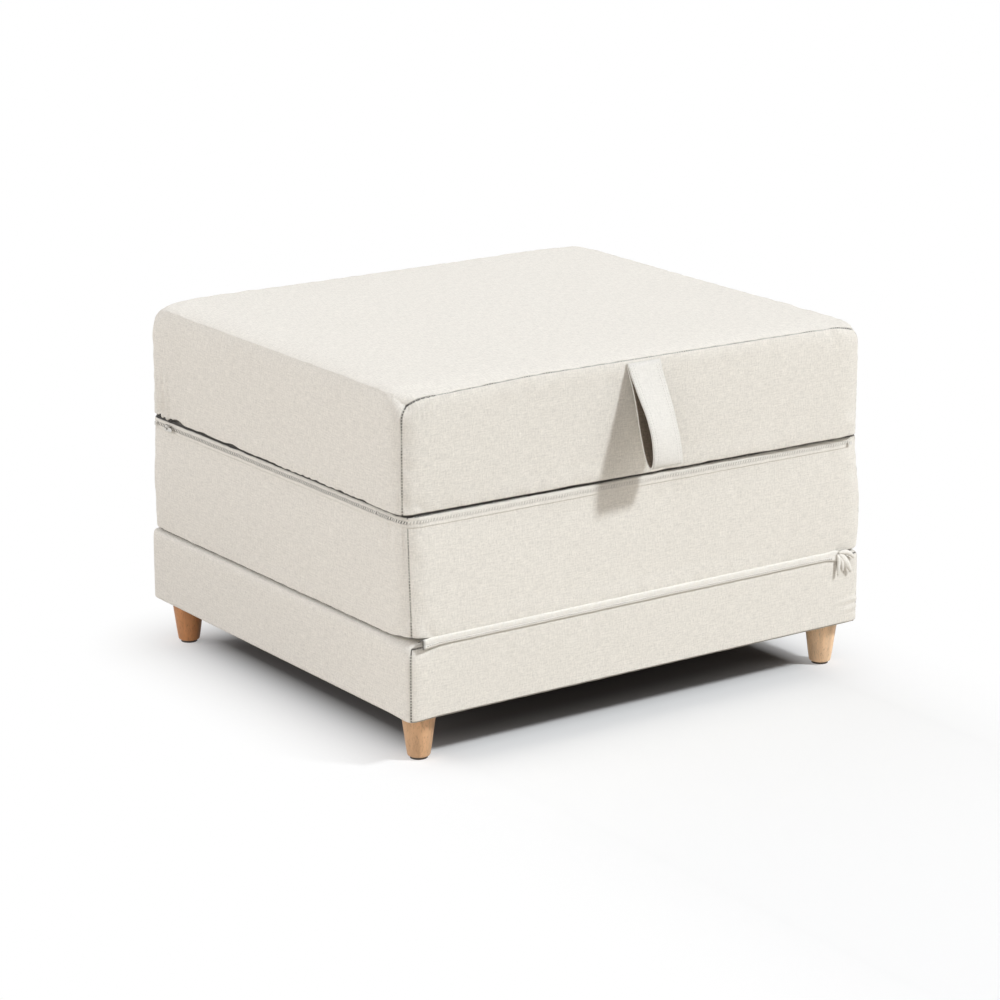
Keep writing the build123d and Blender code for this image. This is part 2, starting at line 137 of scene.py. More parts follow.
def add_node(tree, kind, links=(), **settings):
    """A node with its settings, and with values or sockets for its inputs."""
    node = tree.nodes.new(kind)
    for key, value in settings.items():
        setattr(node, key, value)
    for key, value in dict(links).items():
        if isinstance(value, bpy.types.NodeSocket):
            tree.links.new(value, node.inputs[key])
        else:
            node.inputs[key].default_value = value
    return node


def result(tree, kind, links=(), **settings):
    """The first result of a new shader node."""
    return add_node(tree, "ShaderNode" + kind, links, **settings).outputs[0]


def maths(tree, operation, first, second=0.0, third=0.0):
    """The result of one Math node."""
    return result(tree, "Math", {0: first, 1: second, 2: third}, operation=operation)


def ramp(tree, value, start, end, first, last, kind="LINEAR"):
    """A value's stretch from start to end, turned into one from first to last."""
    links = {"Value": value, "From Min": start, "From Max": end, "To Min": first, "To Max": last}
    return result(tree, "MapRange", links, interpolation_type=kind)


def mixed(tree, share, first, second):
    """Two colours mixed."""
    links = {0: share, 6: first, 7: second}
    return add_node(tree, "ShaderNodeMix", links, data_type="RGBA").outputs[2]


def object_place(tree):
    """A point's place on its object."""
    return add_node(tree, "ShaderNodeTexCoord").outputs["Object"]


def seen_by_eye(tree):
    """One on rays from the eye, straight, mirrored or through glass, and nothing on others."""
    paths = add_node(tree, "ShaderNodeLightPath").outputs
    seen = maths(tree, "MAXIMUM", paths["Is Camera Ray"], paths["Is Glossy Ray"])
    return maths(tree, "MAXIMUM", seen, paths["Is Transmission Ray"])


def beyond_box(tree, place, low, high):
    """How far a place is outside an upright box."""
    offset = result(tree, "VectorMath", {0: place, 1: (low + high) / 2}, operation="SUBTRACT")
    size = result(tree, "VectorMath", {0: offset}, operation="ABSOLUTE")
    past = result(tree, "VectorMath", {0: size, 1: (high - low) / 2}, operation="SUBTRACT")
    past = result(tree, "VectorMath", {0: past, 1: (0.0, 0.0, 0.0)}, operation="MAXIMUM")
    return add_node(tree, "ShaderNodeVectorMath", {0: past}, operation="LENGTH").outputs["Value"]


square = ((-1, -1), (1, -1), (1, 1), (-1, 1))
floor = new_piece("Floor", [(x * floor_half, y * floor_half, 0.0) for x, y in square], [(0, 1, 2, 3)])
floor_finish, tree, shader = new_material("Floor white", {"Roughness": 0.75, "Specular IOR Level": 0.0})
seen, place = seen_by_eye(tree), object_place(tree)
# A painted shadow under the base: darker floor inside a box, fading out past it.
under = ramp(tree, beyond_box(tree, place, painted_shadow_low, painted_shadow_high), 0.0, painted_shadow_fade, 1.0, 0.0, "SMOOTHSTEP")
shown = mixed(tree, seen, bounce_tone, mixed(tree, under, floor_tone, painted_shadow_tone))
tree.links.new(shown, shader.inputs["Base Color"])
left_over = ramp(tree, beyond_box(tree, place, lit_low, lit_high), 0.0, floor_fade, 1.0, 0.0)
fade = maths(tree, "SUBTRACT", 1.0, maths(tree, "POWER", left_over, fade_power))
share = maths(tree, "MULTIPLY", fade, seen)
white = result(tree, "Emission", {"Strength": 1.0})
blend = result(tree, "MixShader", {0: share, 1: shader.outputs[0], 2: white})
tree.links.new(blend, tree.nodes["Material Output"].inputs["Surface"])
floor.data.materials.append(floor_finish)

surround = bpy.data.worlds.new("Surround")
surround.use_nodes = True
scene.world = surround
tree = surround.node_tree
direction = add_node(tree, "ShaderNodeTexCoord").outputs["Generated"]
direction = add_node(tree, "ShaderNodeSeparateXYZ", {0: direction}).outputs
panels = 0.0
for axis, sense, level in panel_levels:
    towards = maths(tree, "MAXIMUM", maths(tree, "MULTIPLY", direction[axis], sense), 0.0)
    panels = maths(tree, "MULTIPLY_ADD", maths(tree, "MULTIPLY", towards, towards), level, panels)
above = ramp(tree, direction["Z"], panel_foot, panel_full, 0.0, 1.0, "SMOOTHSTEP")
panels = maths(tree, "MULTIPLY", panels, above)
ambient = result(tree, "Background", {"Color": surround_tone, "Strength": surround_level})
panel_light = result(tree, "Background", {"Color": panel_tone, "Strength": panels})
fill = result(tree, "AddShader", {0: ambient, 1: panel_light})
backdrop = result(tree, "Background", {"Color": white_tone, "Strength": 1.0})
shown = result(tree, "MixShader", {0: seen_by_eye(tree), 1: fill, 2: backdrop})
tree.links.new(shown, tree.nodes["World Output"].inputs["Surface"])

lamp = bpy.data.lights.new("Lamp", "SUN")
lamp.energy, lamp.angle, lamp.color = lamp_strength, math.radians(lamp_spread), lamp_tone
aimed("Lamp", lamp, (0.0, 0.0, 0.0), bearing(lamp_azimuth, lamp_elevation))
fill_lamp = bpy.data.lights.new("Fill", "AREA")
fill_lamp.energy, fill_lamp.size, fill_lamp.color = fill_strength, fill_size, fill_tone
aimed("Fill", fill_lamp, fill_place, fill_place - fill_aim)

# The base's covering: linen drawn tight over foam and timber, with a sewn seam round the
# front panel. Its sides are flat, its upper edge is soft and its hem is turned in below.
weave_pitch, weave_depth = 0.00085, 0.00022
slub_scales = ((70.0, 620.0, 1.0), (620.0, 90.0, 1.0))
linen_tone, thread_tone = (0.78, 0.75, 0.695), (0.80, 0.77, 0.71)
seam_lines = (0.0, 0.0012, 0.0028, 0.0055, 0.0095, 0.015)
seam_zone, gather_zone, gather_cell = 0.022, 0.062, 0.005
panel_shift, side_shift = 0.37, 0.81
# The last reach is how far the painted shade in a seam's groove spreads.
seam_depth, seam_reach, seam_shade_reach = 0.0011, 0.0028, 0.0026
pucker_zone, pucker_middle, pucker_reach, pucker_start = 0.05, 0.009, 0.035, 0.004
pucker_length_share = 0.35
# Size and reach of the painted shade in the gaps between cushions.
gap_shade_size, gap_shade_reach = 0.016, 0.0022
fold_reach, fold_drift, drift_size = 0.002, 2.0, 0.03
form_sizes = dict(Spacing=0.0034, Length=0.002, Depth=0.0008, Height=0.0008, Lean=0.0, Wobble=0.1)
stitch_rise, stitch_step, stitch_length = 0.0004, 0.004, 0.0018
corner_gap = 0.012
base_cell, base_corner, base_upper, base_lower = 0.011, 0.014, 0.008, 0.003
corner_roll, corner_dip = 0.012, 0.002


def cloud(tree, place, scale, detail, **more):
    """Smooth random values about a half, finer the higher their scale."""
    return result(tree, "TexNoise", {"Vector": place, "Scale": scale, "Detail": detail, **more})


def linear(tree, value, slope, start):
    """A value times a slope, plus a start."""
    return maths(tree, "MULTIPLY_ADD", value, slope, start)


def tint(tree, shader, tone, shade):
    """Gives a shader one tone, made lighter and darker by a shade."""
    colour = result(tree, "VectorMath", {0: tone, "Scale": shade}, operation="SCALE")
    tree.links.new(colour, shader.inputs["Base Color"])


def emboss(tree, shader, height, strength, distance):
    """Gives a shader a relief."""
    relief = result(tree, "Bump", {"Height": height, "Strength": strength, "Distance": distance})
    tree.links.new(relief, shader.inputs["Normal"])


def woven(name, tone, slub, sheen):
    """Plain woven cloth: threads over and under each other, slubs both ways, and painted shade in seams
    and gaps.
    """
    settings = {"Roughness": 0.92, "Specular IOR Level": 0.25, "Sheen Weight": sheen}
    material, tree, shader = new_material(name, {**settings, "Sheen Roughness": 0.5})
    place = result(tree, "UVMap", uv_map="Cloth")
    split = add_node(tree, "ShaderNodeSeparateXYZ", {0: place}).outputs
    counts = [maths(tree, "DIVIDE", split[axis], weave_pitch) for axis in "XY"]
    turns = [maths(tree, "MULTIPLY", maths(tree, "FRACT", count), math.pi) for count in counts]
    across, along = [maths(tree, "SINE", turn) for turn in turns]
    over = maths(tree, "ADD", *[maths(tree, "FLOOR", count) for count in counts])
    over = maths(tree, "PINGPONG", over, 1.0)
    warp = maths(tree, "MULTIPLY", across, linear(tree, along, 0.4, 0.6))
    weft = maths(tree, "MULTIPLY", along, linear(tree, across, 0.4, 0.6))
    weave = result(tree, "Mix", {0: over, 2: warp, 3: weft})
    slubs = []
    for scale in slub_scales:
        stretched = result(tree, "Mapping", {"Vector": place, "Scale": scale})
        slubs.append(cloud(tree, stretched, 1.0, 2.0, Roughness=0.6))
    mottle, drift = cloud(tree, place, 420.0, 3.0), cloud(tree, place, 9.0, 2.0)
    yarn = maths(tree, "ADD", maths(tree, "ADD", *slubs), mottle)
    shade = linear(tree, yarn, slub, 1.0 - 1.5 * slub)
    shade = maths(tree, "ADD", shade, linear(tree, drift, 0.03, -0.015))
    # Painted shade: this attribute darkens the cloth in seam grooves, in the gaps between cushions, under
    # the zip coil and at the hinge strip's end.
    seam = add_node(tree, "ShaderNodeAttribute", attribute_name="Seam").outputs["Fac"]
    shade = maths(tree, "MULTIPLY", shade, linear(tree, seam, -0.94, 1.0))
    tint(tree, shader, tone, maths(tree, "MULTIPLY", shade, linear(tree, weave, 0.1, 0.93)))
    emboss(tree, shader, linear(tree, yarn, 0.6, weave), 0.55, weave_depth)
    return material


def grid_lines(low, high, cell):
    """Lines of a panel's grid: close together beside the seams, one cell apart between them."""
    zone_end = min(gather_zone, 0.4 * (high - low))
    steps = max(1, round((zone_end - seam_zone) / gather_cell))
    zone = np.linspace(seam_zone, zone_end, steps, endpoint=False)
    near = np.concatenate((seam_lines, zone))
    count = max(1, round((high - low - 2 * zone_end) / cell))
    between = np.linspace(low + zone_end, high - zone_end, count + 1)
    return np.concatenate((low + near, between, high - near[::-1]))


def panelled_box(name, low, high, cell):
    """A closed box of six cloth panels, on one grid, with its flat pattern kept on it."""
    lines = [grid_lines(low[axis], high[axis], cell) for axis in range(3)]
    index, faces, shifts = {}, [], []
    for axis, (first, second) in enumerate(((1, 2), (2, 0), (0, 1))):
        for side in (0, len(lines[axis]) - 1):
            for p, q in product(range(len(lines[first]) - 1), range(len(lines[second]) - 1)):
                quad = []
                for step_p, step_q in ((0, 0), (1, 0), (1, 1), (0, 1)):
                    key = [0, 0, 0]
                    key[axis], key[first], key[second] = side, p + step_p, q + step_q
                    quad.append(index.setdefault(tuple(key), len(index)))
                faces.append(quad if side else quad[::-1])
                shifts.append((min(first, second), max(first, second), axis, side))
    places = [[lines[axis][key[axis]] for axis in range(3)] for key in index]
    corners = []
    for face, (u, v, axis, side) in zip(faces, shifts):
        shift = panel_shift * axis + (side_shift if side else 0.0)
        for point in face:
            corners.extend((places[point][u] + shift, places[point][v] + 2 * shift))
    piece = new_piece(name, places, faces)
    piece.data.uv_layers.new(name="Cloth").data.foreach_set("uv", corners)
    flat = piece.data.attributes.new("Flat", "FLOAT_VECTOR", "POINT")
    flat.data.foreach_set("vector", np.array(places).ravel())
    return piece


def rows_of(data, key):
    """Three numbers for each point of a mesh, as the rows of an array."""
    found = np.zeros(3 * len(data), np.float32)
    data.foreach_get(key, found)
    return found.reshape(-1, 3).astype(float)


def points_of(piece):
    """Where a mesh's points are."""
    return rows_of(piece.data.vertices, "co")


def flat_of(piece):
    """Where a mesh's points are on its flat pattern."""
    return rows_of(piece.data.attributes["Flat"].data, "vector")


def normals_of(piece):
    """Which way a mesh's surface faces at its points."""
    return rows_of(piece.data.vertex_normals, "vector")


def set_points(piece, points):
    """Writes an array back to a mesh's points."""
    piece.data.vertices.foreach_set("co", np.asarray(points, np.float32).ravel())
    piece.data.update()


def centred(low, high):
    """A box's middle, and half its size."""
    low, high = np.array(low), np.array(high)
    return (low + high) / 2, (high - low) / 2


def rounded(flat, low, high, corner, upper, lower):
    """Flat box points moved onto a box with round upright corners and rolled edges."""
    middle, half = (size[:2] for size in centred(low, high))
    side = flat[:, :2] - middle
    sign = np.where(side < 0, -1.0, 1.0)
    side = np.abs(side)
    inset = np.min(half - side, axis=1)
    height, moved_in = flat[:, 2].copy(), inset.copy()
    for level, roll, start, sense in (
        (high[2] - flat[:, 2], upper, high[2], -1),
        (flat[:, 2] - low[2], lower, low[2], 1),
    ):
        inward, upward = np.maximum(roll - inset, 0), np.maximum(roll - level, 0)
        turned = (inward > 0) & (upward > 0)
        span = np.where(turned, np.hypot(inward, upward), 1)
        moved_in = np.where(turned, roll - roll * inward / span, moved_in)
        height = np.where(turned, start + sense * (roll - roll * upward / span), height)
    past = side - (half - corner)
    cornered = (past > 0).all(axis=1)
    length = np.where(cornered, np.hypot(past[:, 0], past[:, 1]), 1)
    round_place = (half - corner) + past / length[:, None] * (corner - moved_in)[:, None]
    nearest = np.argmin(half - side, axis=1)
    straight = side.copy()
    straight[np.arange(len(side)), nearest] = half[nearest] - moved_in
    side = np.where(cornered[:, None], round_place, straight)
    return np.column_stack((middle + sign * side, height))


def applied(piece, modifier):
    """Makes a piece's live modifier part of its mesh."""
    graph = bpy.context.evaluated_depsgraph_get()
    mesh = bpy.data.meshes.new_from_object(
        piece.evaluated_get(graph), preserve_all_data_layers=True, depsgraph=graph
    )
    piece.modifiers.remove(modifier)
    mesh.name = piece.name
    piece.data = mesh


def refined(piece):
    """Gives a mesh one round of subdivision, with its pattern and its flat places kept."""
    smoothing = piece.modifiers.new("Smooth", "SUBSURF")
    smoothing.levels = smoothing.render_levels = 1
    smoothing.uv_smooth = "NONE"
    applied(piece, smoothing)


def ripple(points, size, seed):
    """Smooth random values from about minus one to one, a set size apart."""
    shift = Vector((seed * 7.31, seed * 3.17, seed * 5.03))
    return np.array([noise.noise(Vector(point) / size + shift) for point in points])


def falling(distance, reach):
    """One at no distance, falling smoothly to nothing at the reach."""
    share = np.clip(distance / reach, 0, 1)
    return (1 - share**2) ** 2


def beside(flat, place, reach):
    """One at a place of the pattern, in space or seen from above, and nothing at the reach."""
    place = np.array(place)
    return falling(np.linalg.norm(flat[:, : len(place)] - place, axis=1), reach)


def soften(piece, height, reach, rounds):
    """Rounds a cover's four corners off at one height, by evening out its mesh."""
    flat = flat_of(piece)
    middle, half = centred(flat.min(axis=0), flat.max(axis=0))
    away = half[:2] - np.abs(flat[:, :2] - middle[:2])
    distance = np.hypot(np.hypot(away[:, 0], away[:, 1]), flat[:, 2] - height)
    weights = falling(distance, reach)
    group = piece.vertex_groups.new(name="Soft")
    for number in np.nonzero(weights > 0.01)[0]:
        group.add([int(number)], float(weights[number]), "REPLACE")
    evening = piece.modifiers.new("Even", "SMOOTH")
    evening.factor, evening.iterations = 0.5, rounds
    evening.vertex_group = "Soft"
    applied(piece, evening)
    piece.vertex_groups.clear()


def sew(piece, low, high, seams, pucker, pucker_size, seed, shaded_gaps=()):
    """Draws a cover in along its seams, with small puckers beside them, and paints shade into the seams
    and into the gaps along the rims it is given.
    """
    points, flat, normals = points_of(piece), flat_of(piece), normals_of(piece)
    shade, inward = np.zeros(len(points)), np.zeros(len(points))
    for number, seam in enumerate(seams):
        distance = sum(np.abs(flat[:, axis] - (low, high)[side][axis]) for axis, side in seam)
        inward += seam_depth * falling(distance, seam_reach)
        # Painted shade in the seam's groove.
        shade = np.maximum(shade, falling(distance, seam_shade_reach))
        near = distance < pucker_zone
        along = flat.copy()
        for axis, _ in seam:
            along[:, axis] *= pucker_length_share
        folds = np.zeros(len(points))
        folds[near] = ripple(along[near], pucker_size, seed + number)
        swell = falling(np.abs(distance - pucker_middle), pucker_reach)
        swell *= np.clip(distance / pucker_start, 0, 1)
        inward -= pucker * swell * folds
    # Painted shade in the gaps along the given rims, its width uneven along them.
    gap_shade_spread = np.clip(0.85 + 1.3 * ripple(flat * (1, 1, 0), gap_shade_size, seed + 50), 0.45, 1.7)
    for ((axis, side), (_, level)), reach in shaded_gaps:
        inside = np.abs(flat[:, axis] - (low, high)[side][axis])
        upright = np.abs(flat[:, 2] - (low, high)[level][2])
        shade = np.maximum(shade, falling(upright, gap_shade_reach * gap_shade_spread) * falling(inside, reach))
    set_points(piece, points - normals * inward[:, None])
    mark = piece.data.attributes.new("Seam", "FLOAT", "POINT")
    mark.data.foreach_set("value", shade.astype(np.float32))


def gather(piece, face, ridges, runs, reach, pitch, depth):
    """Presses a row of small folds into one face: where it is, and the way its ridges run."""
    points, flat, normals = points_of(piece), flat_of(piece), normals_of(piece)
    weight = np.ones(len(flat))
    for (axis, place), far in zip((face, ridges, runs), (fold_reach, *reach)):
        weight *= falling(np.abs(flat[:, axis] - place), far)
    axis, place = ridges
    drift = fold_drift * ripple(flat, drift_size, 31)
    turn = 2 * math.pi * (flat[:, axis] - place) / pitch + drift
    set_points(piece, points + normals * (depth * weight * np.sin(turn))[:, None])


def surface_finder(piece):
    """Looks up places a little off a cover's surface from places on its flat pattern."""
    flat, points, normals = flat_of(piece), points_of(piece), normals_of(piece)
    piece.data.calc_loop_triangles()
    triangles = [tuple(triangle.vertices) for triangle in piece.data.loop_triangles]
    tree = BVHTree.FromPolygons([tuple(place) for place in flat], triangles, all_triangles=True)

    def find(place, lift):
        spot, _, number, _ = tree.find_nearest(Vector(place))
        corners = triangles[number]
        weights = poly_3d_calc([Vector(flat[corner]) for corner in corners], spot)
        point, normal = np.zeros(3), np.zeros(3)
        for weight, corner in zip(weights, corners):
            point += weight * points[corner]
            normal += weight * normals[corner]
        return Vector(point + normal / np.linalg.norm(normal) * lift)

    return find


def flat_run(start, end):
    """Evenly spaced places along a straight line on a flat pattern."""
    start, end = Vector(start), Vector(end)
    count = max(2, round((end - start).length / stitch_step))
    return [start.lerp(end, number / count) for number in range(count + 1)]


def repeat_tree(name):
    """Geometry nodes that set a small rounded form along lines, at a set spacing."""
    group = bpy.data.node_groups.new(name, "GeometryNodeTree")
    group.is_modifier = True
    sockets = [("Lines", "Geometry"), *((label, "Float") for label in form_sizes)]
    for label, kind in (*sockets, ("Seed", "Int"), ("Finish", "Material")):
        socket = group.interface.new_socket(label, in_out="INPUT", socket_type=f"NodeSocket{kind}")
        if label in form_sizes:
            socket.default_value = form_sizes[label]
    group.interface.new_socket("Forms", in_out="OUTPUT", socket_type="NodeSocketGeometry")

    def step(kind, links=(), **settings):
        return add_node(group, kind, links, **settings).outputs

    given = step("NodeGroupInput")
    curves = step("GeometryNodeMeshToCurve", {"Mesh": given["Lines"]})[0]
    spacing = {"Curve": curves, "Length": given["Spacing"]}
    spaced = step("GeometryNodeResampleCurve", spacing, mode="LENGTH")[0]
    tangent = step("GeometryNodeInputTangent")[0]
    along = step("FunctionNodeAlignRotationToVector", {"Vector": tangent}, axis="X")[0]
    lean = step("ShaderNodeCombineXYZ", {"Y": given["Lean"]})[0]
    turns = {"Rotation": along, "Rotate By": lean}
    turned = step("FunctionNodeRotateRotation", turns, rotation_space="LOCAL")[0]
    ball = step("GeometryNodeMeshUVSphere", {"Segments": 6, "Rings": 4, "Radius": 0.5})["Mesh"]
    sizes = {"X": given["Length"], "Y": given["Depth"], "Z": given["Height"]}
    size = step("ShaderNodeCombineXYZ", sizes)[0]
    form = step("GeometryNodeTransform", {"Geometry": ball, "Scale": size})[0]
    least, most = (maths(group, way, 1.0, given["Wobble"]) for way in ("SUBTRACT", "ADD"))
    limits = {2: least, 3: most, "Seed": given["Seed"]}
    chance = step("FunctionNodeRandomValue", limits, data_type="FLOAT")[1]
    copies = {"Points": spaced, "Instance": form, "Rotation": turned, "Scale": chance}
    forms = step("GeometryNodeInstanceOnPoints", copies)[0]
    real = step("GeometryNodeRealizeInstances", {0: forms})[0]
    finished = step("GeometryNodeSetMaterial", {"Geometry": real, "Material": given["Finish"]})[0]
    step("NodeGroupOutput", {"Forms": finished})
    return group


small_forms = repeat_tree("Small forms along lines")


def repeated(name, lines, finish, sizes):
    """One mesh of small forms set along lines, such as stitches or teeth."""
    points, edges = [], []
    for line in lines:
        first = len(points)
        points.extend(tuple(point) for point in line)
        edges.extend((first + n, first + n + 1) for n in range(len(line) - 1))
    piece = new_piece(name, points, [], edges)
    repeat = piece.modifiers.new("Repeat", "NODES")
    repeat.node_group = small_forms
    inputs = {item.name: item.identifier for item in small_forms.interface.items_tree}
    for label, value in {**sizes, "Finish": finish}.items():
        repeat[inputs[label]] = value
    applied(piece, repeat)
    piece.data.polygons.foreach_set("use_smooth", [True] * len(piece.data.polygons))
    return piece


def thread(name, tone):
    """Sewing thread: two plies twisted together, seen as fine slanting bands."""
    material, tree, shader = new_material(name, {"Roughness": 0.75})
    links = {"Vector": object_place(tree), "Scale": 900.0}
    bands = add_node(tree, "ShaderNodeTexWave", links, bands_direction="DIAGONAL").outputs["Fac"]
    tint(tree, shader, tone, linear(tree, bands, 0.2, 0.85))
    emboss(tree, shader, bands, 0.5, 0.0001)
    return material


linen_thread = thread("Linen thread", thread_tone)


def sew_stitches(name, piece, body, low, high, seed):
    """The seam's own stitches round a cover's front panel, sunk in the seam."""
    find = surface_finder(piece)
    top = high.z - corner_gap
    upper = [flat_run((low.x + corner_gap, low.y, high.z), (high.x - corner_gap, low.y, high.z))]
    upright = [
        flat_run((x, low.y, low.z + stitch_step), (x, low.y, top)) for x in (low.x, high.x)
    ]
    rows = (("upper", upper, 0.0036, 0.0007), ("upright", upright, 0.0037, 0.0018))
    for row, lines, spacing, size in rows:
        sizes = {"Spacing": spacing, "Length": stitch_length, "Depth": size, "Height": size}
        paths = [[find(place, stitch_rise) for place in line] for line in lines]
        made = repeated(f"{name}_{row}", paths, linen_thread, {**sizes, "Seed": seed})
        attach(made, body)


linen = woven("Linen", linen_tone, 0.34, 0.08)
base_low, base_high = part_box("base_cover")
base = panelled_box("base_upholstery", base_low, base_high, base_cell)
flat = flat_of(base)
upper = base_upper + corner_roll * beside(flat, (base_low.x, base_low.y, base_high.z), 0.07)
points = rounded(flat, base_low, base_high, base_corner, upper, base_lower)
points[:, 2] -= corner_dip * beside(flat, base_low, 0.05)
set_points(base, points)
soften(base, base_high.z, reach=0.035, rounds=8)
refined(base)
front_seams = [((1, 0), (2, 1)), ((0, 0), (1, 0)), ((0, 1), (1, 0))]
upper_rim = [((0, 0), (2, 1)), ((0, 1), (2, 1)), ((1, 1), (2, 1))]
lower_rim = [((1, 0), (2, 0)), ((0, 0), (2, 0)), ((0, 1), (2, 0)), ((1, 1), (2, 0))]
# The base's seams get painted shade in their grooves.
sew(base, base_low, base_high, front_seams + lower_rim[:1], pucker=0.0005, pucker_size=0.018, seed=1)
right_end, pleats = (0, base_high.x), (2, 0.088)
gather(base, (1, base_low.y), pleats, right_end, reach=(0.022, 0.05), pitch=0.011, depth=0.0012)
base.data.materials.append(linen)
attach(base, "root")
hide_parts("base_cover", "base_foam")
sew_stitches("base_stitches", base, "root", base_low, base_high, 1)

# The underside: a black felted dust cover stapled over the hem, with the timber frame, deck,
# screws and bolts that it hides. All of these are the solids themselves.
felt_tone, zinc_tone = (0.016, 0.016, 0.017), (0.60, 0.61, 0.63)
timber_tone, ply_tone = (0.62, 0.46, 0.28), (0.60, 0.46, 0.30)


def clouded(name, tone, contrast, scale, detail, settings):
    """A material whose tone is lighter and darker in small clouds."""
    material, tree, shader = new_material(name, settings)
    clouds = cloud(tree, object_place(tree), scale, detail)
    tint(tree, shader, tone, linear(tree, clouds, contrast, 1 - contrast / 2))
    return material, tree, shader, clouds


def felted(name, tone):
    """Thin black felted cloth with a fine pressed grain."""
    settings = {"Roughness": 0.95, "Specular IOR Level": 0.05}
    material, tree, shader, fibres = clouded(name, tone, 0.9, 900.0, 4.0, settings)
    dimples = result(tree, "TexVoronoi", {"Vector": object_place(tree), "Scale": 650.0})
    emboss(tree, shader, maths(tree, "ADD", fibres, dimples), 0.4, 0.0003)
    return material


def timber(name, tone, contrast, along, start=(0.0, 0.0, 0.0)):
    """Sawn or turned wood: long grain, darker late wood, short flecks and fine pores."""
    material, tree, shader = new_material(name, {"Roughness": 0.48})
    stretched = []
    for across_grain, along_grain in ((55.0, 3.0), (900.0, 140.0)):
        scale = [across_grain] * 3
        scale[along] = along_grain
        links = {"Vector": object_place(tree), "Location": start, "Scale": scale}
        stretched.append(result(tree, "Mapping", links))
    grain = cloud(tree, stretched[0], 1.6, 4.0, Distortion=0.6)
    flecks = cloud(tree, stretched[1], 1.0, 2.0)
    rings = ramp(tree, grain, 0.35, 0.65, 1 + contrast, 1 - contrast)
    dark = ramp(tree, flecks, 0.56, 0.68, 1.0, 0.72)
    tint(tree, shader, tone, maths(tree, "MULTIPLY", rings, dark))
    tree.links.new(linear(tree, flecks, 0.25, 0.36), shader.inputs["Roughness"])
    emboss(tree, shader, dark, 0.25, 0.0002)
    return material


def metal(name, tone, roughness):
    """Plated steel with a slightly uneven polish."""
    settings = {"Roughness": roughness, "Metallic": 1.0}
    material, tree, shader, clouds = clouded(name, tone, 0.2, 700.0, 3.0, settings)
    tree.links.new(linear(tree, clouds, 0.25, roughness - 0.12), shader.inputs["Roughness"])
    return material


def finish_solids(names, material):
    """Gives a finish to solids that are shown as they are."""
    for name in names:
        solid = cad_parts[name]
        if not solid.material_slots:
            solid.data.materials.append(material)
        for slot in solid.material_slots:
            slot.material = material


finish_solids(["dust_cover"], felted("Dust cover felt", felt_tone))
finish_solids(["front_rail", "back_rail"], timber("Softwood across", timber_tone, 0.12, 0))
finish_solids(["left_rail", "right_rail", "centre_rail"], timber("Softwood deep", timber_tone, 0.12, 1))
finish_solids(["corner_blocks"], timber("Softwood blocks", timber_tone, 0.12, 2))
finish_solids(["deck_board"], timber("Plywood", ply_tone, 0.1, 0))
hidden_metal = ["frame_screws", "deck_screws", "leg_bolts", "leg_nuts", "cover_staples"]
finish_solids(hidden_metal, metal("Zinc plate", zinc_tone, 0.38))

# The legs: four turned beech cones with eased edges, bolted up into the frame's corner blocks.
# Their tones differ a little, as timber's do, and more as painted light and shade: the front
# right leg is lighter and the back left one darker. Each stands on a grey plastic glide with a pin.
leg_names = ("leg_front_left", "leg_front_right", "leg_back_left", "leg_back_right")
# Painted light and shade: the front right leg's tone is lighter, the back left one's darker.
leg_lit_and_shaded_tones = ((0.63, 0.38, 0.21), (0.86, 0.59, 0.37), (0.565, 0.25, 0.10), (0.62, 0.36, 0.19))
leg_foot, leg_top, leg_ease = 0.0145, 0.022, 0.0026
leg_sides, ease_steps, cone_shares = 64, 5, (0.2, 0.4, 0.6, 0.8)
grain_steps = (3.1, 1.7, 2.3)
glide_tone = (0.07, 0.055, 0.042)


def eased_cone(name, centre, bottom, top, foot_radius, top_radius, ease):
    """A turned cone with rounded rims, closed at both ends."""
    slope = (top_radius - foot_radius) / (top - bottom)
    turns = [math.pi / 2 * step / ease_steps for step in range(ease_steps + 1)]
    heights = [bottom + ease + share * (top - bottom - 2 * ease) for share in cone_shares]
    foot, rim = (foot_radius - ease, bottom + ease), (top_radius - ease, top - ease)
    profile = [(foot[0] + ease * math.sin(turn), foot[1] - ease * math.cos(turn)) for turn in turns]
    profile += [(foot_radius + slope * (height - bottom), height) for height in heights]
    profile += [(rim[0] + ease * math.cos(turn), rim[1] + ease * math.sin(turn)) for turn in turns]
    places = [(centre.x, centre.y, bottom)]
    for (radius, height), side in product(profile, range(leg_sides)):
        angle = 2 * math.pi * side / leg_sides
        around = (centre.x + radius * math.cos(angle), centre.y + radius * math.sin(angle))
        places.append((*around, height))
    places.append((centre.x, centre.y, top))
    faces, last = [], 1 + (len(profile) - 1) * leg_sides
    for side in range(leg_sides):
        after = (side + 1) % leg_sides
        faces.append((0, 1 + after, 1 + side))
        for first in range(1, last, leg_sides):
            second = first + leg_sides
            faces.append((first + side, first + after, second + after, second + side))
        faces.append((last + side, last + after, len(places) - 1))
    return new_piece(name, places, faces)


for number, (name, tone) in enumerate(zip(leg_names, leg_lit_and_shaded_tones)):
    low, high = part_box(name)
    leg = eased_cone(f"turned_{name}", (low + high) / 2, low.z, high.z, leg_foot, leg_top, leg_ease)
    start = [number * step for step in grain_steps]
    leg.data.materials.append(timber(f"Beech {number + 1}", tone, 0.16, 2, start))
    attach(leg, "root")
    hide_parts(name)

glide_plastic = clouded("Glide plastic", glide_tone, 0.8, 300.0, 4.0, {"Roughness": 0.55})[0]
finish_solids(["foot_glides"], glide_plastic)

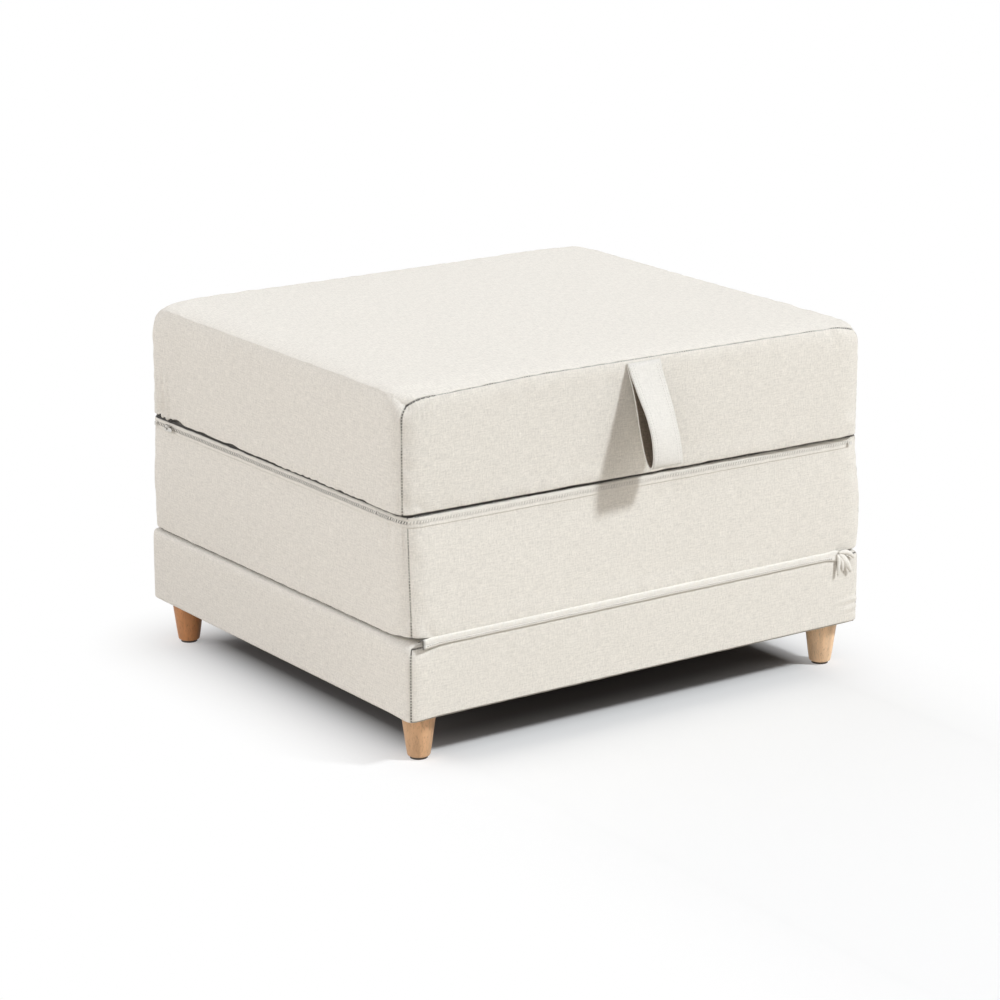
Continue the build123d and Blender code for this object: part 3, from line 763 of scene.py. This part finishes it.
# The middle cushion: foam in a sewn linen cover, the seams drawn in round its front panel.
# It stands square on the base and leans a little to the left at its top.
swell_frames, swell_pressure, swell_limit, swell_growth = 20, 4.0, 0.004, -0.012
rear_room, on_edge = 0.0008, 1e-6
cushion_cell, cushion_corner, drawn_depth, drawn_reach = 0.0105, 0.02, 0.003, 0.06
rim_height, rim_inset, rim_width, rim_wave = 0.010, 0.008, 0.02, 0.026
thin_edge, hinge_edge = (0.0018, 0.0024, 0.003), (0.003, 0.0025, 0.006)
edge_change, edge_wave = 0.9, 0.045
middle_lean, right_bulge, left_bulge, corner_lift = 0.008, 0.0095, 0.0030, 0.0040
# The last is how far in from a rim the painted shade in the gap between cushions reaches.
pucker_depth, pucker_pitch, rim_shade_inset = 0.0006, 0.02, 0.012


def swollen(piece, low, high, loaded):
    """Puffs a cover out a little, held at its edges and where it is weighed down."""
    flat, rest = flat_of(piece), points_of(piece)
    at_low, at_high = (np.abs(flat - np.array(corner)) < on_edge for corner in (low, high))
    edge = (at_low | at_high).sum(axis=1) > 1
    held = edge | at_low[:, 2] | (at_high[:, 2] & loaded)
    group = piece.vertex_groups.new(name="Held")
    group.add([int(number) for number in np.nonzero(held)[0]], 1.0, "REPLACE")
    cloth = piece.modifiers.new("Swell", "CLOTH")
    cloth.settings.quality = 4
    cloth.settings.use_pressure = True
    cloth.settings.uniform_pressure_force = swell_pressure
    cloth.settings.effector_weights.gravity = 0.0
    cloth.settings.vertex_group_mass = "Held"
    cloth.settings.shrink_min = swell_growth
    cloth.point_cache.frame_start, cloth.point_cache.frame_end = 1, swell_frames
    for number in range(1, swell_frames + 1):
        scene.frame_set(number)
    shown = piece.evaluated_get(bpy.context.evaluated_depsgraph_get())
    moved = rows_of(shown.to_mesh().vertices, "co") - rest
    shown.to_mesh_clear()
    piece.modifiers.remove(cloth)
    piece.vertex_groups.clear()
    scene.frame_set(1)
    length = np.linalg.norm(moved, axis=1, keepdims=True)
    puffed = rest + moved * swell_limit / (swell_limit + length)
    puffed[:, 1] = np.minimum(puffed[:, 1], high[1] + rear_room)
    set_points(piece, puffed)


def drawn_in(flat, points, low, high):
    """Pulls a cushion's four sides in between its corners."""
    middle, half = centred(low, high)
    place = (flat - middle) / half
    moved = points.copy()
    between = np.clip((1 - np.abs(place[:, 2])) / 0.35, 0.2, 1)
    for axis, other in ((0, 1), (1, 0)):
        near = falling(half[axis] - np.abs(flat[:, axis] - middle[axis]), drawn_reach)
        amount = drawn_depth * (1 - place[:, other] ** 2) * near * between
        moved[:, axis] -= np.sign(place[:, axis]) * amount
    return moved


def roll_sizes(flat, low, high, sizes):
    """Edge roll at each point: one size along the front, one elsewhere, more at the corners."""
    front, side, corner = sizes
    middle, half = centred(low, high)
    to_corner = np.max(half[:2] - np.abs(flat[:, :2] - middle[:2]), axis=1)
    size = front + (side - front) * np.clip((flat[:, 1] - low[1]) / 0.03, 0, 1)
    return size + (corner - size) * falling(to_corner, 0.05)


def rim_lift(flat, low, high, gap, extra):
    """How far a cushion's lower rim is lifted off what it lies on: evenly, and in places."""
    side = np.minimum(flat[:, 0] - low.x, high.x - flat[:, 0])
    inset = np.minimum(side, np.minimum(flat[:, 1] - low.y, high.y - flat[:, 1]))
    rim = falling(flat[:, 2] - low.z, rim_height)
    rim *= falling(np.maximum(inset - rim_inset, 0), rim_width)
    return rim * (gap + extra * np.maximum(ripple(flat * (1, 1, 0), rim_wave, 23), 0))


middle_low, middle_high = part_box("middle_cover")
middle_cushion = panelled_box("middle_cushion", middle_low, middle_high, cushion_cell)
flat = flat_of(middle_cushion)
uneven = 1 + edge_change * ripple(flat * (1, 1, 0), edge_wave, 41)
upper = roll_sizes(flat, middle_low, middle_high, thin_edge) * uneven
lower = roll_sizes(flat, middle_low, middle_high, hinge_edge)
points = rounded(flat, middle_low, middle_high, cushion_corner, upper, lower)
set_points(middle_cushion, drawn_in(flat, points, middle_low, middle_high))
points = points_of(middle_cushion)
low, high = np.array(middle_low), np.array(middle_high)
to_left, to_front, to_foot = ((high - flat) / (high - low)).T
to_top = 1 - to_foot
points[:, 1] += middle_lean * to_top * to_left * to_front
points[:, 0] += right_bulge * falling(np.abs(to_top - 0.3), 0.65) * (1 - to_left) ** 3 * to_front
points[:, 0] -= left_bulge * falling(np.abs(to_top - 0.4), 0.55) * to_left**3 * (1 - to_front)
behind_front = np.clip((flat[:, 1] - middle_low.y) / 0.02, 0, 1)
points[:, 2] += rim_lift(flat, middle_low, middle_high, 0.0012, 0.0004) * behind_front
points[:, 2] += corner_lift * beside(flat, middle_low, 0.05)
set_points(middle_cushion, points)
soften(middle_cushion, middle_high.z, reach=0.03, rounds=6)
swollen(middle_cushion, middle_low, middle_high, loaded=True)
refined(middle_cushion)
# Painted shade in the gaps between the cushions and above the base, along the middle cushion's rims.
painted_rim_shade = [(seam, rim_shade_inset) for seam in front_seams[:1] + upper_rim]
painted_rim_shade += [(seam, rim_shade_inset / 2) for seam in lower_rim]
middle_seams = front_seams + upper_rim + lower_rim
sew(middle_cushion, middle_low, middle_high, middle_seams, pucker_depth, pucker_pitch, 5, painted_rim_shade)
left_side, near_front = (0, middle_low.x), (1, middle_low.y + 0.05)
below_zip, zip_reach = (2, middle_high.z - 0.02), (0.09, 0.05)
gather(middle_cushion, left_side, near_front, below_zip, zip_reach, pitch=0.014, depth=0.0010)
middle_cushion.data.materials.append(linen)
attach(middle_cushion, "middle_panel")
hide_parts("middle_cover", "middle_foam")
sew_stitches("middle_stitches", middle_cushion, "middle_panel", middle_low, middle_high, 2)

# Front hinge: a strip of pale cloth sewn down the base's front and in under the middle
# cushion. It bends over the fold line, and its right end is bunched where it was sewn off.
hinge_tone, hem_tone = (0.83, 0.805, 0.755), (0.20, 0.18, 0.155)
hinge_thickness, strip_step, hem_drop = 0.0012, 0.0025, 0.002
bunched_folds = (
    ((0.314, -0.0004, 0.160), (0.317, -0.0040, 0.152), (0.314, -0.0030, 0.132), 0.005),
    ((0.317, -0.0006, 0.160), (0.327, -0.0050, 0.152), (0.336, -0.0030, 0.134), 0.008),
    ((0.316, -0.0006, 0.161), (0.330, -0.0045, 0.165), (0.341, -0.0015, 0.152), 0.006),
    ((0.315, -0.0006, 0.158), (0.324, -0.0045, 0.147), (0.322, -0.0020, 0.136), 0.005),
)
fold_points, fold_strands, fold_arch = 13, 7, 0.0016


def lengths_along(points):
    """How far along a line of points each of them is."""
    found = [0.0]
    for before, after in zip(points, points[1:]):
        found.append(found[-1] + (Vector(after) - Vector(before)).length)
    return found


def cloth_band(name, columns, thickness, material, painted_shades=None, inner_finish=None):
    """A band of cloth through columns of points, with its own pattern map and thickness."""
    rows, count = len(columns[0]), len(columns)
    run = lengths_along([column[rows // 2] for column in columns])
    climb = lengths_along(columns[0])
    faces, corners = [], []
    for column, row in product(range(count - 1), range(rows - 1)):
        keys = ((column, row), (column + 1, row), (column + 1, row + 1), (column, row + 1))
        faces.append(tuple(c * rows + r for c, r in keys))
        corners.extend(value for c, r in keys for value in (run[c], climb[r]))
    piece = new_piece(name, [tuple(point) for column in columns for point in column], faces)
    piece.data.uv_layers.new(name="Cloth").data.foreach_set("uv", corners)
    if inner_finish is not None:
        piece.data.materials.append(inner_finish)
    piece.data.materials.append(material)
    # Painted shade, where given, darkens the band's cloth.
    if painted_shades is not None:
        mark = piece.data.attributes.new("Seam", "FLOAT", "POINT")
        mark.data.foreach_set("value", [float(shade) for column in painted_shades for shade in column])
    ply = piece.modifiers.new("Ply", "SOLIDIFY")
    ply.thickness, ply.offset = thickness, 0.0
    ply.material_offset = ply.material_offset_rim = 0 if inner_finish is None else 1
    applied(piece, ply)
    return piece


hinge_linen = woven("Hinge cloth", hinge_tone, 0.22, 0.05)
strip_low, strip_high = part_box("front_hinge_base_half")
tab_low, tab_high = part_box("front_hinge_middle_half")
fold_y, fold_z = tab_low.y - 0.0002, (strip_high.z + tab_low.z) / 2
face_y = (strip_low.y + strip_high.y) / 2
columns, strip_end_shade = [], []
for x in np.arange(strip_low.x, strip_high.x, strip_step):
    wave = noise.noise(Vector((x * 14, 0.0, 3.0)))
    fine = noise.noise(Vector((x * 60, 5.0, 0.0)))
    start = float(falling(x - strip_low.x, 0.03))
    bunch = float(falling(strip_high.x - x, 0.022))
    hem = strip_low.z + 0.0062 - 0.0008 * start + 0.0005 * wave - 0.003 * bunch
    lift = 0.0058 + 0.0004 * fine + 0.0015 * bunch * fine
    profile = (
        (face_y, hem),
        (face_y - 0.0001, hem + 0.0022),
        (face_y - 0.0002 + 0.0001 * fine, hem + 0.005),
        (face_y - 0.0001, fold_z - 0.0014),
        (face_y, fold_z - 0.0002),
        (face_y, fold_z + 0.0008),
        (face_y + 0.0001, fold_z + lift / 2),
        (face_y + 0.0001, fold_z + lift - 0.0008),
        (face_y + 0.0008, fold_z + lift - 0.0001),
        (face_y + 0.0024, fold_z + lift - 0.0003),
        (face_y + 0.0050, fold_z + 0.0018),
        (tab_high.y - 0.0010, (tab_low.z + tab_high.z) / 2),
    )
    outward = [0.0026 * start] * (len(profile) - 2) + [0.0, 0.0]
    across = x + 0.004 * bunch * fine
    columns.append([(across, y - out, z) for (y, z), out in zip(profile, outward)])
    # Painted shade at the strip's left end, darkest at its cut edge.
    strip_end_shade.append([0.9 * float(falling(x - strip_low.x, 0.004))] * len(profile))
front_hinge = cloth_band("front_hinge_strip", columns, hinge_thickness, hinge_linen, strip_end_shade)
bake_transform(front_hinge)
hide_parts("front_hinge_base_half", "front_hinge_middle_half")

hem_places = [column[2] for column in columns[3:-5]]
hem_line = [Vector((x, y - hinge_thickness / 2, z - hem_drop)) for x, y, z in hem_places]
hem_sizes = {"Spacing": 0.0036, "Length": 0.0019, "Depth": 0.0010, "Height": 0.0010, "Seed": 8}
hem_thread = thread("Hem thread", hem_tone)
hem_stitches = repeated("front_hinge_stitches", [hem_line], hem_thread, hem_sizes)
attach(hem_stitches, "root")

for number, (start, through, end, width) in enumerate(bunched_folds):
    path = []
    for share in np.linspace(0, 1, fold_points):
        weights = ((1 - share) ** 2, 2 * share * (1 - share), share**2)
        weighed = zip((start, through, end), weights)
        point = sum((Vector(place) * weight for place, weight in weighed), Vector())
        path.append(point + Vector((0, face_y, 0)))
    columns = []
    for place in np.linspace(-1, 1, fold_strands):
        column = []
        for index, point in enumerate(path):
            share = index / (len(path) - 1)
            onward = path[min(index + 1, len(path) - 1)] - path[max(index - 1, 0)]
            sideways = onward.normalized().cross(Vector((0, 1, 0))).normalized()
            spread = width * (0.25 + 0.75 * math.sin(math.pi * min(share * 0.8 + 0.12, 1)))
            arch = Vector((0, -fold_arch * (1 - place**2), 0))
            column.append(point + sideways * place * spread / 2 + arch)
        columns.append(column)
    fold = cloth_band(f"bunched_fold_{number + 1}", columns, hinge_thickness, hinge_linen)
    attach(fold, "root")
    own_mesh(fold)

# Rear hinge: the same cloth, sewn into the middle cushion's upper edge and the top cushion's
# lower one, and folded double at the back while the bed is closed.
rear_bends, rear_wave = (-60, -30, 0, 30, 60), 0.0003
ply_run, ply_turn = 0.004, 0.0012
under_low, under_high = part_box("rear_hinge_middle_half")
over_low, over_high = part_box("rear_hinge_top_half")
rear_z = (under_high.z + over_low.z) / 2
under_z, over_z = (under_low.z + under_high.z) / 2, (over_low.z + over_high.z) / 2
loop_y, radius = under_high.y - hinge_thickness / 2, (over_z - under_z) / 2
columns = []
for x in np.arange(under_low.x, under_high.x, strip_step):
    wave = rear_wave * noise.noise(Vector((x * 30, 9.0, 0.0)))
    profile = [(under_low.y, under_z), (loop_y - ply_run, under_z), (loop_y - ply_turn, under_z)]
    for bend in map(math.radians, rear_bends):
        bend_y = loop_y - radius + radius * math.cos(bend) + wave
        profile.append((bend_y, rear_z + radius * math.sin(bend)))
    profile += [(loop_y - ply_turn, over_z), (loop_y - ply_run, over_z), (over_low.y, over_z)]
    columns.append([(x, y, z) for y, z in profile])
rear_hinge = cloth_band("rear_hinge_strip", columns, hinge_thickness, hinge_linen)
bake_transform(rear_hinge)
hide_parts("rear_hinge_middle_half", "rear_hinge_top_half")

# The top cushion: the seat, with a gently crowned top that wraps over its left, right and
# back edges and is sewn to a separate front panel.
crown, seat_edge = 0.0035, (0.008, 0.016, 0.020)
seat_narrow, seat_skew = 0.007, 0.0227
left_end_dip, back_left_dip, back_left_in, right_front_dip = 0.006, 0.0075, 0.0035, 0.0040
seam_below, rim_above = 0.012, 0.012
top_low, top_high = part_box("top_cover")
top_cushion = panelled_box("top_cushion", top_low, top_high, cushion_cell)
flat = flat_of(top_cushion)
shell_high = Vector((top_high.x, top_high.y, top_high.z - crown))
fitted = flat.copy()
fitted[:, 2] = top_low.z + (flat[:, 2] - top_low.z) * (shell_high.z - top_low.z) / (top_high.z - top_low.z)
upper = roll_sizes(flat, top_low, top_high, seat_edge)
uneven = 1 + edge_change * ripple(flat * (1, 1, 0), edge_wave, 41)
lower = roll_sizes(flat, top_low, top_high, thin_edge) * uneven
points = rounded(fitted, top_low, shell_high, cushion_corner, upper, lower)
points = drawn_in(flat, points, top_low, top_high)
place = (flat - np.array((top_low + top_high) / 2)) / np.array((top_high - top_low) / 2)
dome = (1 - np.abs(place[:, 0]) ** 3) * (1 - np.abs(place[:, 1]) ** 3)
points[:, 2] += np.where(flat[:, 2] > top_high.z - on_edge, crown * dome, 0)
to_front = (top_high.y - flat[:, 1]) / (top_high.y - top_low.y)
points[:, 0] -= seat_narrow * to_front
points[:, 1] -= seat_skew * flat[:, 0] * to_front
on_left = falling(flat[:, 0] - top_low.x, 0.04) * falling(np.abs(flat[:, 1] - 0.20), 0.30)
points[:, 2] += rim_lift(flat, top_low, top_high, 0.0003, 0.0022 + 0.0042 * on_left)
beside_front = falling(flat[:, 1] - top_low.y, 0.028)
for edge_x, inward, radius in ((top_low.x - 0.001, 1, 0.024), (top_high.x - 0.013, -1, 0.012)):
    across = np.clip(1 - (points[:, 0] - edge_x) * inward / radius, 0, 1)
    up = np.clip(1 - (shell_high.z - 0.004 - points[:, 2]) / radius, 0, 1)
    length = np.maximum(np.hypot(across, up), 1e-9)
    pull = (1 - np.maximum(across, up) / length) * radius * beside_front
    points[:, 0] += inward * across * pull
    points[:, 2] -= up * pull
near_top = falling(top_high.z - flat[:, 2], 0.05)
at_left_end = falling(flat[:, 0] - top_low.x, 0.22) * falling(flat[:, 1] - top_low.y, 0.035)
at_back_left = beside(flat, (top_low.x, top_high.y), 0.06)
at_right_front = beside(flat, (top_high.x, top_low.y), 0.05)
dip = left_end_dip * at_left_end + back_left_dip * at_back_left + right_front_dip * at_right_front
points[:, 2] -= dip * near_top
points[:, 0] += back_left_in * at_back_left * near_top
set_points(top_cushion, points)
soften(top_cushion, top_high.z, reach=0.06, rounds=16)
swollen(top_cushion, top_low, top_high, loaded=False)
refined(top_cushion)
# Painted shade in the gap under the top cushion, along its lower rims.
painted_rim_shade = [(seam, rim_shade_inset) for seam in lower_rim]
top_seams = front_seams + lower_rim
sew(top_cushion, top_low, top_high, top_seams, pucker_depth, pucker_pitch, 9, painted_rim_shade)
seat_front, seat_left = (1, top_low.y), (0, top_low.x)
below_seam, above_zip = (2, top_high.z - seam_below), (2, top_low.z + rim_above)
for face, ridges, runs, reach, pitch, depth in (
    (seat_front, (0, top_low.x + 0.03), below_seam, (0.04, 0.035), 0.0075, 0.0011),
    (seat_left, (1, top_low.y + 0.02), below_seam, (0.03, 0.04), 0.008, 0.0010),
    (seat_left, (1, top_high.y - 0.04), above_zip, (0.035, 0.08), 0.015, 0.0026),
    (seat_left, (1, top_low.y + 0.2), above_zip, (0.2, 0.05), 0.018, 0.0009),
):
    gather(top_cushion, face, ridges, runs, reach, pitch, depth)
top_cushion.data.materials.append(linen)
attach(top_cushion, "top_panel")
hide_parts("top_cover", "top_foam")
sew_stitches("top_stitches", top_cushion, "top_panel", top_low, top_high, 3)

# The zip: a cloth tape sewn round the left side and front of the middle cushion, just under
# its upper edge, with a moulded coil down its middle, a metal stop at each end and a slider.
tape_thickness, tape_rise, tape_margin, tape_rows = 0.0003, 0.00015, 0.0032, 13
route_step, coil_rise, coil_shadow = 0.004, 0.0004, 0.0032
side_shade, front_shade = 0.85, 0.34
coil_tone, zip_metal_tone = (0.80, 0.77, 0.715), (0.66, 0.64, 0.60)
tape_low, tape_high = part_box("zip_tape")
coil_low, coil_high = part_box("zip_coil")
coil_z = (coil_low.z + coil_high.z) / 2
tooth_sizes = {"Spacing": 0.0040, "Length": 0.0022, "Depth": 0.0005, "Height": 0.0044, "Lean": 0.6}
tape_sizes = {"Spacing": 0.0032, "Length": 0.0021, "Depth": 0.0006, "Height": 0.0006, "Seed": 11}
on_middle = surface_finder(middle_cushion)


def zip_route(height):
    """Flat places at one height along the zip: down the left side, then along the front."""
    left, front = middle_low.x, middle_low.y
    side = np.arange(tape_high.y, front, -route_step)
    across = np.arange(left + route_step / 2, tape_high.x, route_step)
    return [(left, y, height) for y in side] + [(x, front, height) for x in across]


def zip_line(height, rise):
    """The zip's route at one height, a little off the middle cushion's surface."""
    return [on_middle(place, rise) for place in zip_route(height)]


levels = np.linspace(tape_low.z, middle_high.z - tape_margin, tape_rows)
strands = [zip_line(level, tape_rise) for level in levels]
columns = [list(column) for column in zip(*strands)]
# Painted shade on the tape under the coil, stronger on the left side than along the front.
under_coil = falling(np.abs(levels - coil_z), coil_shadow)
painted_shades = [side_shade if x == middle_low.x else front_shade for x, _, _ in zip_route(coil_z)]
tape_linen = woven("Zip tape cloth", linen_tone, 0.3, 0.08)
tape_shades = [under_coil * shade for shade in painted_shades]
zip_tape = cloth_band("zip_tape_band", columns, tape_thickness, tape_linen, tape_shades)
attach(zip_tape, "middle_panel")
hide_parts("zip_tape")

coil_plastic = clouded("Coil plastic", coil_tone, 0.2, 800.0, 2.0, {"Roughness": 0.42})[0]
teeth = repeated("zip_teeth", [zip_line(coil_z, coil_rise)], coil_plastic, tooth_sizes)
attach(teeth, "middle_panel")
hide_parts("zip_coil")

on_tape, edges = tape_rise + tape_thickness / 2, (tape_low.z + 0.0018, coil_high.z + 0.0022)
edge_lines = [zip_line(level, on_tape) for level in edges]
tape_stitches = repeated("zip_tape_stitches", edge_lines, linen_thread, tape_sizes)
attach(tape_stitches, "middle_panel")
finish_solids(["zip_stops", "zip_slider", "zip_pull"], metal("Painted zip metal", zip_metal_tone, 0.35))

# The pull strap: one band of pale cloth folded in two, both ends sewn into the seat's front
# seam. Its plies bow apart, and two rows of stitches run along each of its edges.
strap_root, strap_tip = Vector((-0.2912, 0.4630)), Vector((-0.3375, 0.3385))
strap_bow, strap_half_gap, strap_thickness = 0.0098, 0.0013, 0.0022
strap_widest, strap_sag, strap_wave = 0.68, 0.0058, 0.0007
strap_tip_out, strap_tip_down, strap_lean = 0.0035, 0.001, 0.004
# The loop's inner face is painted dark brown, a painted shade for the inside of the loop.
strap_tone, inner_shade_tone = (0.765, 0.745, 0.705), (0.24, 0.195, 0.15)
strap_thread_tone = (0.56, 0.54, 0.50)
strap_columns, strap_rows, row_insets, row_points = 21, 37, (0.0032, 0.0075), 60
row_sizes = {"Spacing": 0.0034, "Length": 0.0024, "Depth": 0.0006, "Height": 0.0006, "Seed": 12}
strap_left, strap_right = (corner.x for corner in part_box("pull_strap"))


def strap_place(share, ply, x, lift=0.0):
    """A point of the strap: how far down it is, on which ply, how far across and above it."""
    across = (x - strap_left) / (strap_right - strap_left)
    tip = strap_tip + Vector((strap_tip_out * across, -strap_tip_down * across))
    down = tip - strap_root
    outward = Vector((down.y, -down.x)).normalized()
    opening = math.sin(math.pi / 2 * min(share / strap_widest, 1) ** 2)
    closing = math.sqrt(1 - max((share - strap_widest) / (1 - strap_widest), 0) ** 2.3)
    bow = strap_bow * opening * closing * (1 - 0.5 * across)
    wave = strap_wave * noise.noise(Vector((x * 22, share * 3.0, ply * 4.0)))
    open_by = strap_half_gap * closing + bow + wave * math.sin(math.pi * share) + lift
    sag = strap_sag * math.sin(math.pi * share**1.2) * (1 - 0.7 * across)
    spot = strap_root + down * share + outward * (ply * open_by + sag)
    side_wave = strap_wave * noise.noise(Vector((share * 5.0, ply, 8.0)))
    return Vector((x + side_wave - strap_lean * (1 - share), spot.x, spot.y))


columns = []
steps = 1 - (1 - np.linspace(0, 1, strap_rows)) ** 2
for x in np.linspace(strap_left, strap_right, strap_columns):
    front_ply = [strap_place(share, 1, x) for share in steps]
    columns.append(front_ply + [strap_place(share, -1, x) for share in steps[-2::-1]])
strap_linen = woven("Strap linen", strap_tone, 0.2, 0.05)
# The dark inner face: painted shade inside the loop.
strap_inner_shade = woven("Strap inner shade", inner_shade_tone, 0.7, 0.0)
strap = cloth_band("strap_band", columns, strap_thickness, strap_linen, inner_finish=strap_inner_shade)
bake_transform(strap)
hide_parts("pull_strap")

left_rows = [strap_left + inset for inset in row_insets]
right_rows = [strap_right - inset for inset in row_insets[::-1]]
shares, above = np.linspace(0.03, 0.975, row_points), strap_thickness / 2
strap_lines = [
    [strap_place(share, ply, x, above) for share in shares]
    for ply, x in product((1, -1), left_rows + right_rows)
]
strap_thread = thread("Strap thread", strap_thread_tone)
strap_stitches = repeated("strap_stitches", strap_lines, strap_thread, row_sizes)
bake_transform(strap_stitches)
